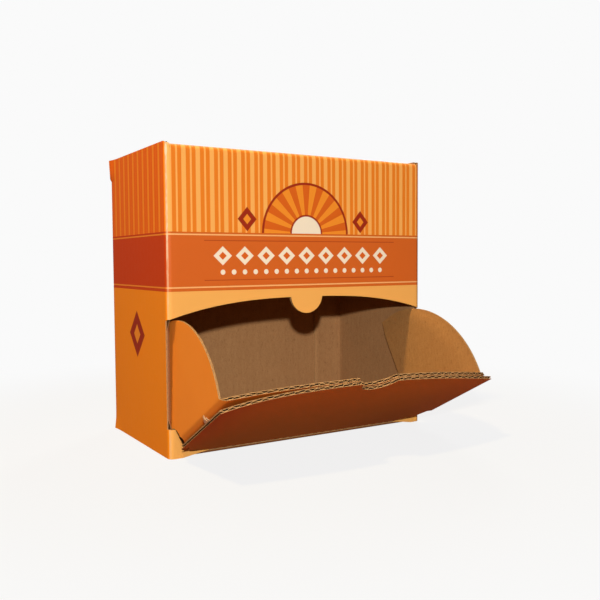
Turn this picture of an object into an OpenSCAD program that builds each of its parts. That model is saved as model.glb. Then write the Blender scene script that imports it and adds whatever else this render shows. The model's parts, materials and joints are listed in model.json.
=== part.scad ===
// Counter display box of corrugated board with a tuck lid and a drop-front scoop.
// Millimetres. The origin is on the table under the middle of the carton,
// +X to the viewer's right, +Y to the back, +Z up.

/* [Carton] */
// Outer width, from side wall to side wall
carton_w = 205; // [160:1:260]
// Outer depth, from front panel to back wall
carton_d = 110; // [100:1:160]
// Height of the side and back walls
carton_h = 199; // [150:1:260]
// Thickness of the corrugated board
board_t = 3; // [2:0.1:4]
// Inside radius of a folded corner
fold_in_r = 0.6; // [0.2:0.1:1.5]
// Gap between the edge of a nested panel and the wall beside it
nest_gap = 0.5; // [0.2:0.1:1]

/* [Flutes] */
// Distance from one flute of the board to the next
flute_pitch = 6.4; // [4:0.1:9]
// Thickness of a liner, the flat sheet on each face of the board
liner_t = 0.4; // [0.2:0.05:0.6]
// Thickness of the fluted sheet between the liners
medium_t = 0.4; // [0.2:0.05:0.6]
// Share of the pitch that the hollow of a flute spans
flute_share = 0.88; // [0.8:0.01:0.9]

/* [Glued flaps] */
// Width of the side seam's flap on the inside of the back wall
seam_flap_w = 25; // [12:1:40]
// Depth of the groove where the right wall folds under the back wall's cut edge
seam_groove = 1.2; // [0.4:0.1:1.8]
// Distance from the carton's top to the seam flap's upper end
seam_flap_end = 24; // [21:1:40]
// Distance from the floor to the seam flap's lower end
seam_flap_foot = 13; // [11:1:40]
// Slant of the glued flaps' ends, in degrees
flap_slant = 5; // [3:1:30]
// Height of the bottom panel's rear flap
rear_flap_h = 10; // [8:0.5:10.5]
// Depth to which glue presses two boards into each other
glue_bite = 0.2; // [0.1:0.05:0.4]

/* [Front opening] */
// Height at which the arch meets the carton's sides
arch_spring_z = 87.7; // [70:0.1:100]
// Rise of the arch from its ends to its crown
arch_rise = 12.1; // [6:0.1:20]
// Fullness of the arch: 2 is a parabola, and more is flatter in the middle
arch_power = 2.65; // [2:0.05:4]
// Radius of the thumb tab under the crown
tab_r = 12.75; // [8:0.25:18]
// How far the thumb tab hangs below the crown
tab_drop = 11.5; // [5:0.5:16]
// Height of the corner pieces left at the front's lower corners
corner_h = 18.7; // [8:0.1:24]
// Width of a corner piece at its foot
corner_foot = 11.5; // [6:0.5:20]
// Height over which the slanted cut runs out to the carton's edge
corner_run = 24.8; // [22:0.1:40]
// Gap between the side walls' cut front edges and the closed lip
edge_gap = 0.4; // [0.2:0.1:1.5]

/* [Lid] */
// How far the lid lies below the side walls' top edges
lid_drop = 1.5; // [0:0.1:4]
// Gap between the lid's rear fold and the back wall
lid_back_gap = 0.4; // [0.3:0.1:1.5]
// Height of the tuck flap
tuck_h = 16; // [10:1:20]
// Lean of the tuck flap away from the back wall, in degrees
tuck_lean = 4; // [3:0.5:12]
// Length trimmed off the tuck flap's lower corners
tuck_trim = 10; // [4:1:15]
// Gap left along a crease that folds
crease_gap = 0.2; // [0.1:0.05:0.5]

/* [Drop front] */
// Angle of the lip forward of upright, in degrees
lip_open = 60; // [30:1:70]
// Width of the cut between the lip and the front panel
kerf = 0.5; // [0.2:0.1:1]

/* [Scoop insert] */
// Gap between the lip and the insert glued behind it
layer_gap = 0.3; // [0:0.1:1]
// How far the insert's rim lies below the lip's rim
rim_step = 0.8; // [0.4:0.1:3]
// Gap between a wing's fold and the side wall
wing_side_gap = 0.3; // [0.3:0.1:1]
// Centre of the wing's arc behind the lip's outer face
wing_arc_back = 11.8; // [6:0.1:20]
// Centre of the wing's arc above the lip's crease
wing_arc_up = 11.2; // [6:0.1:20]
// Gap between the wing's arc and the ends of the front arch
wing_arch_gap = 0.5; // [0.3:0.1:4]
// Gap between the bottom panel and the wings when the lip is closed
wing_floor_gap = 1; // [0.5:0.1:4]
// Gap between the insert and the corner pieces as the lip swings
corner_gap = 1.5; // [0.5:0.1:4]

/* [Hidden] */
$fn = 96;
arch_steps = 48;
flute_steps = 5;
over = 1;
print_orange = [0.93, 0.58, 0.25];
deep_orange = [0.85, 0.42, 0.15];
kraft = [0.62, 0.45, 0.28];

half_w = carton_w / 2;
half_d = carton_d / 2;
fold_r = fold_in_r + board_t;
inner_half_w = half_w - board_t;
back_in_y = half_d - board_t;
nested_half_w = inner_half_w - nest_gap;

crease_r = board_t - fold_in_r;
lid_top_z = carton_h - lid_drop;
lid_under_z = lid_top_z - board_t;
crease_z = board_t;

// The arch falls from its crown with a power of the distance from the middle
arch_crown_z = arch_spring_z + arch_rise;
tab_z = arch_crown_z - tab_drop + tab_r;
function arch_z(x) = arch_crown_z - arch_rise * (abs(x) / half_w) ^ arch_power;

// The slanted corner cut, as an inset from the carton's edge
function corner_inset(z) = corner_foot * (1 - (z - crease_z) / corner_run);

// Depth from a liner's face to the fluted sheet, at x from the middle of a flute
flute_wave = (board_t - medium_t) / 2 - liner_t;
flute_reach = flute_share * flute_pitch / 2;
function flute_depth(x) = (board_t - medium_t) / 2 + flute_wave * cos(360 * x / flute_pitch);

insert_back = board_t + layer_gap;
wing_half_w = inner_half_w - wing_side_gap;
wing_reach = arch_z(wing_half_w) - crease_z - wing_arch_gap;
wing_r = wing_reach - norm([wing_arc_back, wing_arc_up]);
wing_relief_r = norm([board_t, corner_h - crease_z]) + corner_gap;

// Stands a front-view outline up as a board with its outer face at y
module upright(y, thick) {
    translate([0, y + thick, 0])
        rotate([90, 0, 0])
            linear_extrude(thick) children();
}

// Carries a side-view profile, drawn in y and z, across the width from -half to half
module across(half) {
    rotate([90, 0, 90])
        translate([0, 0, -half])
            linear_extrude(2 * half) children();
}

// Board bent round a corner by a right angle, and by some more where it starts;
// it faces +x and +y before it is turned
module fold_bend(turn, more = 0) {
    sweep = 2 * fold_r;
    rotate(turn)
        intersection() {
            difference() {
                circle(fold_r);
                circle(fold_in_r);
            }
            polygon([
                [0, 0], [sweep * cos(more), -sweep * sin(more)],
                [sweep, sweep], [0, sweep],
            ]);
        }
}

// Section of the hollow in one flute, with its flat side on the liner
module flute() {
    polygon([
        [-flute_reach, liner_t],
        for (i = [1 : flute_steps - 1])
            let (x = flute_reach * (2 * i / flute_steps - 1)) [x, flute_depth(x)],
        [flute_reach, liner_t],
    ]);
}

// Section of a board with its outer face on the x axis, hollow along a run of flutes
module board_section(run) {
    count = floor(run / flute_pitch);
    difference() {
        translate([-run / 2, 0]) square([run, board_t]);
        for (i = [0 : count - 1])
            translate([(i - (count - 1) / 2) * flute_pitch, 0]) flute();
        for (i = [1 : count - 1])
            translate([(i - count / 2) * flute_pitch, board_t]) mirror([0, 1]) flute();
    }
}

// Field below the arch, out past the carton's sides and down to the table
module under_arch(lower) {
    wide = half_w + over;
    translate([0, -lower])
        polygon([
            [wide, 0], [wide, arch_spring_z],
            for (i = [0 : arch_steps]) let (x = half_w * (1 - 2 * i / arch_steps)) [x, arch_z(x)],
            [-wide, arch_spring_z], [-wide, 0],
        ]);
}

module thumb_tab(grow) {
    translate([0, tab_z]) circle(tab_r + grow);
}

// Front-view outline of a drop-front layer with its rim, notch and slanted corners
module drop_front(half, rim_gap, foot_gap) {
    foot_z = crease_z + crease_gap;
    foot_half = half_w - corner_inset(foot_z) - foot_gap;
    full_z = min(crease_z + (half - half_w + corner_foot + foot_gap) * corner_run / corner_foot,
                 arch_spring_z - rim_gap);
    top_z = arch_crown_z;
    difference() {
        intersection() {
            under_arch(rim_gap);
            polygon([
                [-foot_half, foot_z], [foot_half, foot_z],
                [half, full_z], [half, top_z],
                [-half, top_z], [-half, full_z],
            ]);
        }
        thumb_tab(rim_gap);
    }
}

// Turns a drop-front piece from upright to its open angle on the lip's crease
module dropped() {
    translate([0, -half_d, crease_z])
        rotate([lip_open, 0, 0])
            translate([0, half_d, -crease_z]) children();
}

// Plan of the four walls: back, left, front and right in one strip of board
module wall_strip() {
    wide_run = carton_w - 2 * fold_r;
    side_run = carton_d - 2 * fold_r;
    translate([0, -half_d]) board_section(wide_run);
    translate([-half_w, 0]) rotate(-90) board_section(side_run);
    translate([half_w, 0]) rotate(90) board_section(side_run);
    translate([0, half_d]) mirror([0, 1]) board_section(wide_run);
    translate([-half_w + fold_r, -half_d + fold_r]) fold_bend(180);
    translate([half_w - fold_r, -half_d + fold_r]) fold_bend(270);
    translate([-half_w + fold_r, half_d - fold_r]) fold_bend(90);
    // the back wall's cut edge lies over the fold of the seam flap
    difference() {
        translate([half_w - fold_r, half_d - fold_r]) square(fold_r);
        translate([inner_half_w - fold_r, back_in_y - fold_r]) square(fold_r);
        translate([half_w, back_in_y]) rotate(45) square(seam_groove, center = true);
    }
}

// Flap of the side seam, folded from the right wall and glued inside the back wall
module seam_flap() {
    slope = seam_flap_w * tan(flap_slant);
    fold_x = inner_half_w + glue_bite;
    upright(back_in_y - board_t, board_t + glue_bite)
        polygon([
            [fold_x, seam_flap_foot], [fold_x, carton_h - seam_flap_end],
            [inner_half_w - seam_flap_w, carton_h - seam_flap_end - slope],
            [inner_half_w - seam_flap_w, seam_flap_foot + slope],
        ]);
}

// Outer side of a horizontal crease at the front, as a profile that bulges down
module crease_profile() {
    translate([-half_d + crease_r, crease_r])
        intersection() {
            circle(crease_r);
            translate([-crease_r, -crease_r]) square(crease_r);
        }
    translate([-half_d, crease_r]) square([crease_r, board_t - crease_r]);
}

// Bottom panel with its front crease and the fold of its rear flap
module bottom_panel() {
    across(nested_half_w) {
        crease_profile();
        translate([-half_d + crease_r, 0])
            square([back_in_y - fold_r + half_d - crease_r, board_t]);
        translate([back_in_y - fold_r, fold_r]) fold_bend(270);
    }
    slope = (rear_flap_h - fold_r) * tan(flap_slant);
    upright(back_in_y - board_t, board_t + glue_bite)
        polygon([
            [-nested_half_w, fold_r - glue_bite], [nested_half_w, fold_r - glue_bite],
            [nested_half_w - slope, rear_flap_h], [-nested_half_w + slope, rear_flap_h],
        ]);
}

// Front-view outline of the mouth: arch above, corner pieces below, tab left standing
module mouth() {
    foot_half = half_w - corner_foot;
    top_half = half_w - corner_inset(corner_h);
    wide = half_w + over;
    difference() {
        intersection() {
            under_arch(0);
            polygon([
                [-foot_half, crease_z], [foot_half, crease_z],
                [top_half, corner_h], [wide, corner_h], [wide, arch_crown_z],
                [-wide, arch_crown_z], [-wide, corner_h], [-top_half, corner_h],
            ]);
        }
        thumb_tab(0);
    }
}

module carton_body() {
    color(print_orange) {
        difference() {
            linear_extrude(carton_h) wall_strip();
            upright(-half_d - over, board_t + edge_gap + over) mouth();
            // the front wall stops at the lid's crease
            translate([-half_w - over, -half_d - over, lid_under_z])
                cube([carton_w + 2 * over, fold_r + over, carton_h]);
            // the front's foot between the corner pieces belongs to the bottom panel
            translate([-nested_half_w, -half_d - over, -over])
                cube([2 * nested_half_w, board_t + over, crease_z - glue_bite + over]);
        }
        seam_flap();
        bottom_panel();
    }
}

// Side-view profile of the lid: front crease, panel, rear fold and tuck flap
module lid_profile() {
    fold_y = back_in_y - lid_back_gap - fold_r;
    translate([0, lid_top_z]) mirror([0, 1])
        intersection() {
            crease_profile();
            translate([-half_d, 0]) square([crease_r, board_t - crease_gap]);
        }
    translate([-half_d + crease_r, lid_under_z + crease_gap])
        square([fold_y + half_d - crease_r, board_t - crease_gap]);
    translate([fold_y, lid_top_z - fold_r]) {
        fold_bend(0, tuck_lean);
        rotate(-tuck_lean)
            translate([fold_in_r, -tuck_h + fold_r])
                square([board_t, tuck_h - fold_r]);
    }
}

module lid() {
    tuck_half = nested_half_w + over;
    tuck_foot_z = lid_top_z - tuck_h - over;
    color(print_orange)
        difference() {
            across(nested_half_w) lid_profile();
            for (side = [0, 1])
                mirror([side, 0, 0])
                    upright(0, half_d)
                        polygon([
                            [tuck_half, tuck_foot_z],
                            [tuck_half - tuck_trim - over, tuck_foot_z],
                            [tuck_half, lid_under_z - fold_r],
                        ]);
        }
}

module front_lip() {
    color(deep_orange)
        dropped()
            intersection() {
                translate([0, -half_d, 0])
                    linear_extrude(arch_crown_z) board_section(carton_w);
                upright(-half_d - over, board_t + 2 * over) drop_front(half_w, kerf, kerf);
            }
}

// Plan of the insert's panel with the folds at both ends
module insert_strip() {
    run = wing_half_w - fold_r;
    board_section(2 * run);
    for (side = [0, 1])
        mirror([side, 0])
            translate([-run, fold_r]) fold_bend(180);
}

// Side-view outline of a wing, seen from the crease: back in x and up in y
module wing_outline() {
    difference() {
        intersection() {
            translate([wing_arc_back, wing_arc_up]) circle(wing_r);
            translate([insert_back + fold_r, wing_floor_gap]) square(wing_reach);
        }
        circle(wing_relief_r);
    }
}

// A wing of the insert, folded back beside the right wall
module wing() {
    start = insert_back + fold_r;
    run = wing_arc_back + wing_r - start;
    translate([0, -half_d, crease_z])
        intersection() {
            translate([wing_half_w, start + run / 2, 0])
                rotate(90)
                    linear_extrude(wing_reach) board_section(run);
            translate([wing_half_w - board_t - over, 0, 0])
                rotate([90, 0, 90])
                    linear_extrude(board_t + 2 * over) wing_outline();
        }
}

module scoop_insert() {
    color(kraft)
        dropped() {
            intersection() {
                translate([0, -half_d + insert_back, 0])
                    linear_extrude(arch_crown_z) insert_strip();
                upright(-half_d, insert_back + fold_r + over)
                    drop_front(wing_half_w, kerf + rim_step, corner_gap);
            }
            for (side = [0, 1])
                mirror([side, 0, 0]) wing();
        }
}

carton_body();
lid();
front_lip();
scoop_insert();
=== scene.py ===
"""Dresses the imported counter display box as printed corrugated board.

Every board is three sheets: a printed liner, a fluted sheet and a bare kraft liner.
Lengths named in millimetres carry the factor MM; everything placed in Blender is in metres.
"""

import json
import logging
import math
from dataclasses import dataclass, field
from enum import Enum
from functools import partial
from typing import Any, Callable, Sequence

import bpy
import numpy as np
from mathutils import Matrix, Vector


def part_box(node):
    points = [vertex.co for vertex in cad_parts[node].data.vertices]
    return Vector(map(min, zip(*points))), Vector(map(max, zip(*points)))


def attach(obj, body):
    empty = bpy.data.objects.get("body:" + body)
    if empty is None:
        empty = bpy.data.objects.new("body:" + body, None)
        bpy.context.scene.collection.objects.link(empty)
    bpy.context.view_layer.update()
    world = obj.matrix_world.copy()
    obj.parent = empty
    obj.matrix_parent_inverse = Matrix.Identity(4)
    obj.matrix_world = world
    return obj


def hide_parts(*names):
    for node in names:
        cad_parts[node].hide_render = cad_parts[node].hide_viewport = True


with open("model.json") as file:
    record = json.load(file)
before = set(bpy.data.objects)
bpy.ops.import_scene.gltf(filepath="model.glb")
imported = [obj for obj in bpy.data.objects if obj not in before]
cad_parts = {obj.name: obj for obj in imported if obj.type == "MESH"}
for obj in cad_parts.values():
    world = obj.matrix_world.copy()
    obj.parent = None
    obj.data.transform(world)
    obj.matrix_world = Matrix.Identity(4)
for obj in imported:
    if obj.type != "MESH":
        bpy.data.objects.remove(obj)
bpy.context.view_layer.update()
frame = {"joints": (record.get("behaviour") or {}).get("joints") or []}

MM = 0.001
LOG = logging.getLogger("display_box")

Array = np.ndarray
Triple = tuple[float, float, float]
Colour = Triple
Laid = tuple[Array, Array, Array]
Place = Callable[[Array, Array], Laid]
PrintMap = Callable[[Array, Array], Array]
Limits = Callable[[Array], tuple[Array, Array]]
Shape = Callable[[Array], Array]

SHEET_UV = "sheet"
NUMBERED = "at_"
SHARP_TURN = math.radians(42)
SEARCH_COUNT = 4001
SAMPLE_DIGITS = 9
WELD_DIGITS = 6

BYTE = 255.0
SRGB_KNEE = 0.04045
SRGB_SLOPE = 12.92
SRGB_SHIFT = 0.055
SRGB_POWER = 2.4


def linear(red: int, green: int, blue: int) -> Colour:
    """Turn an 8-bit display colour into the linear colour that a shader takes.

    A share is divided by a slope below a knee, and shifted and raised to a power above it.

    Args:
        red: Red, from 0 to 255.
        green: Green, from 0 to 255.
        blue: Blue, from 0 to 255.

    Returns:
        The linear colour.
    """
    shares = np.array([red, green, blue]) / BYTE
    low = shares / SRGB_SLOPE
    high = ((shares + SRGB_SHIFT) / (1 + SRGB_SHIFT)) ** SRGB_POWER
    return tuple(float(c) for c in np.where(shares <= SRGB_KNEE, low, high))


WHITE: Colour = (1.0, 1.0, 1.0)
CREAM: Colour = linear(252, 240, 214)
RUSSET: Colour = linear(158, 44, 22)
AMBER: Colour = linear(246, 150, 44)
COPPER: Colour = linear(222, 102, 28)
# Bare paper at rubbed folds; also the colour of the painted highlight on the front's upper fold.
BARE_PAPER_AND_HIGHLIGHT: Colour = linear(240, 214, 180)

# Half the width of a printed edge's blur, in millimetres.
EDGE_SOFT = 0.12


class Side(Enum):
    """The sheet of a board that a mesh stands for."""

    PRINT = "print_liner"
    FLUTES = "flutes"
    KRAFT = "kraft_liner"


@dataclass(frozen=True)
class Board:
    """Sizes of the corrugated board that every piece is cut from."""

    thick: float = 3.0 * MM
    liner: float = 0.36 * MM
    medium: float = 0.42 * MM
    pitch: float = 6.4 * MM
    steps: int = 12
    steep: float = 1.5
    crush: float = 0.95 * MM
    crush_reach: float = 8.0 * MM
    crease_r: float = 2.4 * MM
    liner_step: float = 4.0 * MM
    fine_step: float = 2.0 * MM
    row_step: float = 8.0 * MM
    tall_row_step: float = 40.0 * MM

    @property
    def turn(self) -> float:
        """Angle that the flutes' wave turns through in each metre across."""
        return 2 * math.pi / self.pitch

    def column_step(self, side: Side, liner_step: float) -> float:
        """Spacing of a sheet's grid columns, which on the fluted sheet follow its wave."""
        return self.pitch / self.steps if side is Side.FLUTES else liner_step

    def depth(self, side: Side, along: Array, thick: Array) -> tuple[Array, Array]:
        """Depth of a sheet's middle below the printed face, and its slope.

        The liners are flat, and the fluted sheet fills the space between them with a cosine
        wave of the board's pitch, steepened by a hyperbolic tangent.

        Args:
            side: The sheet.
            along: Distances across the flutes.
            thick: Thickness of the board at each place, less where it was crushed.

        Returns:
            The depths and their slopes along the distances.
        """
        flat = np.zeros_like(along)
        if side is Side.PRINT:
            return flat + self.liner / 2, flat
        if side is Side.KRAFT:
            return thick - self.liner / 2, flat
        angle = self.turn * along
        wave = (thick - 2 * self.liner - self.medium) / 2 / math.tanh(self.steep)
        swing = np.tanh(self.steep * np.cos(angle))
        slope = -wave * self.turn * self.steep * np.sin(angle) * (1 - swing ** 2)
        return thick / 2 + wave * swing, slope

    def crushed(self, from_cut: Array, amount: Any) -> Array:
        """Thickness of the board near a cut edge, which the cutting rule has squeezed.

        The loss falls as a bell with the distance from the cut.

        Args:
            from_cut: Distances from the cut edge.
            amount: Loss of thickness at the edge.

        Returns:
            The thickness at each place.
        """
        return self.thick - amount * np.exp(-(from_cut / self.crush_reach) ** 2)

    def sheet_thickness(self, side: Side) -> float:
        """Thickness of one of the board's sheets."""
        return self.medium if side is Side.FLUTES else self.liner


BOARD = Board()


@dataclass
class Patch:
    """A grid of sheet points with their normals and print coordinates."""

    points: Array
    normals: Array
    print_uv: Array


class Path:
    """A plane curve of straight runs and rounded corners, read by its length.

    All its corners turn the same way, and the outward side is on the outside of the turns.
    """

    def __init__(self, corners: Sequence[tuple[float, float]], radius: float, bends: int = 8,
                 clockwise: bool = False) -> None:
        """Round each inner corner with an arc of the given radius.

        Args:
            corners: The corner points in order.
            radius: Radius of the rounded corners on the outer face.
            bends: Number of chords in each arc.
            clockwise: Whether the corners turn clockwise.
        """
        self.sense = -1.0 if clockwise else 1.0
        knots, normals = [], []
        pts = [np.array(c, float) for c in corners]
        for i, here in enumerate(pts):
            before = self._unit(here - pts[i - 1]) if i else None
            after = self._unit(pts[i + 1] - here) if i + 1 < len(pts) else None
            if before is None or after is None:
                way = after if before is None else before
                knots.append(here)
                normals.append(self._outward(way))
                continue
            turn = math.atan2(before[0] * after[1] - before[1] * after[0], before @ after)
            setback = radius * math.tan(abs(turn) / 2)
            centre = here - before * setback - self._outward(before) * radius
            for share in np.linspace(0, 1, bends + 1):
                angle = turn * share
                way = np.array([before[0] * math.cos(angle) - before[1] * math.sin(angle),
                                before[0] * math.sin(angle) + before[1] * math.cos(angle)])
                knots.append(centre + self._outward(way) * radius)
                normals.append(self._outward(way))
        self.knots = np.array(knots)
        self.normals = np.array(normals)
        steps = np.linalg.norm(np.diff(self.knots, axis=0), axis=1)
        self.marks = np.concatenate([[0.0], np.cumsum(steps)])
        self.length = float(self.marks[-1])

    @staticmethod
    def _unit(way: Array) -> Array:
        """Unit vector along a direction."""
        return way / np.linalg.norm(way)

    def _outward(self, way: Array) -> Array:
        """Direction away from the inside of the turns."""
        return np.array([way[1], -way[0]]) * self.sense

    def at(self, along: Array) -> tuple[Array, Array]:
        """Read points and outward normals at distances along the curve.

        Args:
            along: Distances from the curve's start.

        Returns:
            Points and unit normals, with the two coordinates on the last axis.
        """
        point = np.stack([np.interp(along, self.marks, self.knots[:, k]) for k in (0, 1)], -1)
        normal = np.stack([np.interp(along, self.marks, self.normals[:, k]) for k in (0, 1)], -1)
        return point, normal / np.linalg.norm(normal, axis=-1, keepdims=True)

    def where(self, axis: int, value: float, low: float, high: float) -> float:
        """Find the distance at which a coordinate passes a value.

        Args:
            axis: Coordinate to look at, 0 or 1.
            value: The value to find.
            low: Start of the stretch searched.
            high: End of the stretch searched.

        Returns:
            The distance along the curve.
        """
        along = np.linspace(low, high, SEARCH_COUNT)
        reading = self.at(along)[0][:, axis]
        return float(along[np.argmin(np.abs(reading - value))])


def samples(start: float, stop: float, step: float, extra: Sequence[float] = ()) -> Array:
    """Distances from start to stop, about a step apart, with some extra ones among them.

    Args:
        start: First distance.
        stop: Last distance.
        step: Largest spacing.
        extra: Further distances, used where they lie inside.

    Returns:
        The sorted distances.
    """
    count = max(2, int(math.ceil((stop - start) / step)) + 1)
    inside = [e for e in extra if start < e < stop]
    spots = np.concatenate([np.linspace(start, stop, count), inside])
    return np.unique(np.round(spots, SAMPLE_DIGITS))


def smooth_step(share: Array) -> Array:
    """Rise from 0 to 1, level at both ends: three squares of the share less two cubes."""
    share = np.clip(share, 0, 1)
    return share ** 2 * (3 - 2 * share)


def grid_patch(
    along: Array,
    level: Array,
    side: Side,
    place: Place,
    uv: PrintMap,
    thick: Array,
) -> Patch:
    """Lay one sheet of a board on a grid of distances and levels.

    A point is the printed face's point less its outward normal times the sheet's depth,
    and the fluted sheet's normal leans by the slope of its wave.

    Args:
        along: Distances across the flutes, one for each grid column and row.
        level: Distances along the flutes, of the same shape.
        side: The sheet.
        place: Gives the printed face's points, outward normals and tangents across the flutes.
        uv: Gives the print coordinates.
        thick: Thickness of the board at each place.

    Returns:
        The patch.
    """
    point, normal, tangent = place(along, level)
    depth, slope = BOARD.depth(side, along, thick)
    lean = normal + tangent * slope[..., None]
    lean /= np.linalg.norm(lean, axis=-1, keepdims=True)
    return Patch(point - normal * depth[..., None], lean, uv(along, level))


def weld(patches: Sequence[Patch]) -> tuple[Array, Array, Array, Array]:
    """Join patches where their points meet.

    Args:
        patches: The patches of one sheet.

    Returns:
        Points, unit normals, print coordinates and quads that face along the normals.
    """
    quads, base = [], 0
    for patch in patches:
        rows, cols = patch.points.shape[:2]
        ids = base + np.arange(rows * cols).reshape(rows, cols)
        quad = np.stack([ids[:-1, :-1], ids[1:, :-1], ids[1:, 1:], ids[:-1, 1:]], -1).reshape(-1, 4)
        across = patch.points[1, 0] - patch.points[0, 0]
        upward = patch.points[0, -1] - patch.points[0, 0]
        facing = np.cross(across, upward) @ patch.normals[0, 0]
        quads.append(quad if facing > 0 else quad[:, ::-1])
        base += rows * cols
    points = np.concatenate([p.points.reshape(-1, 3) for p in patches])
    normals = np.concatenate([p.normals.reshape(-1, 3) for p in patches])
    uvs = np.concatenate([p.print_uv.reshape(-1, 2) for p in patches])
    _, first, back = np.unique(np.round(points, WELD_DIGITS), axis=0, return_index=True,
                                return_inverse=True)
    back = back.reshape(-1)
    total = np.zeros((len(first), 3))
    np.add.at(total, back, normals)
    total /= np.linalg.norm(total, axis=1, keepdims=True)
    faces = back[np.concatenate(quads)]
    whole = (np.diff(np.sort(faces, axis=1), axis=1) > 0).all(axis=1)
    return points[first], total, uvs[first], faces[whole]


def sheet_object(
    name: str,
    patches: Sequence[Patch],
    thickness: float,
    finishes: tuple[bpy.types.Material, ...],
    shape: Shape,
) -> bpy.types.Object:
    """Make a closed thin sheet from patches: two faces and a rim along the free edges.

    Args:
        name: Name of the object.
        patches: The sheet's middle surface.
        thickness: Thickness of the sheet.
        finishes: Materials of the outer face, the inner face and the cut rim.
        shape: Moves the finished points to their place.

    Returns:
        The object, at the origin with its place in its mesh.
    """
    points, normals, uvs, faces = weld(patches)
    count = len(points)
    half = normals * thickness / 2
    verts = shape(np.concatenate([points + half, points - half]))
    edges = np.stack([faces, np.roll(faces, -1, axis=1)], -1).reshape(-1, 2)
    keys = np.sort(edges, axis=1)
    _, first, uses = np.unique(keys, axis=0, return_index=True, return_counts=True)
    free = edges[first[uses == 1]]
    rim = np.stack([free[:, 1], free[:, 0], free[:, 0] + count, free[:, 1] + count], -1)
    quads = np.concatenate([faces, faces[:, ::-1] + count, rim])
    kinds = np.repeat([0, 1, 2], [len(faces), len(faces), len(rim)])
    mesh = bpy.data.meshes.new(name)
    mesh.from_pydata(verts.tolist(), [], quads.tolist())
    for finish in finishes:
        mesh.materials.append(finish)
    mesh.polygons.foreach_set("material_index", kinds.astype(np.int32))
    mesh.polygons.foreach_set("use_smooth", np.ones(len(quads), bool))
    layer = mesh.uv_layers.new(name=SHEET_UV)
    corner = np.zeros(len(mesh.loops), np.int32)
    mesh.loops.foreach_get("vertex_index", corner)
    layer.data.foreach_set("uv", np.concatenate([uvs, uvs])[corner].astype(np.float32).ravel())
    mesh.set_sharp_from_angle(angle=SHARP_TURN)
    mesh.validate()
    obj = bpy.data.objects.new(name, mesh)
    bpy.context.scene.collection.objects.link(obj)
    return obj


class Socket:
    """A node socket that takes part in Python arithmetic."""

    def __init__(self, graph: "Graph", socket: bpy.types.NodeSocket) -> None:
        """Wrap a socket of a graph's node."""
        self.graph = graph
        self.socket = socket

    def __add__(self, other: Any) -> "Socket":
        """Add a value."""
        return self.graph.math("ADD", self, other)

    __radd__ = __add__

    def __sub__(self, other: Any) -> "Socket":
        """Take a value away."""
        return self.graph.math("SUBTRACT", self, other)

    def __rsub__(self, other: Any) -> "Socket":
        """Take this away from a value."""
        return self.graph.math("SUBTRACT", other, self)

    def __mul__(self, other: Any) -> "Socket":
        """Multiply by a value."""
        return self.graph.math("MULTIPLY", self, other)

    __rmul__ = __mul__

    def __abs__(self) -> "Socket":
        """Distance from zero."""
        return self.graph.math("ABSOLUTE", self)

    def share(self, pitch: float) -> "Socket":
        """Position within a repeat of the given pitch, from 0 up to the pitch."""
        return self.graph.math("FLOORED_MODULO", self, pitch)

    def most(self, other: Any) -> "Socket":
        """The larger of this and a value."""
        return self.graph.math("MAXIMUM", self, other)

    def above(self, edge: float, soft: float) -> "Socket":
        """Rise smoothly from 0 to 1 as this passes an edge.

        Args:
            edge: Value at the middle of the rise.
            soft: Half the width of the rise.

        Returns:
            The mask.
        """
        return self.graph.make(
            "ShaderNodeMapRange", {"interpolation_type": "SMOOTHSTEP"},
            Value=self, **{"From Min": edge - soft, "From Max": edge + soft})

    def within(self, low: float, high: float, soft: float) -> "Socket":
        """Mask that is 1 between two values and 0 outside them."""
        return self.above(low, soft) * (1 - self.above(high, soft))


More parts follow.
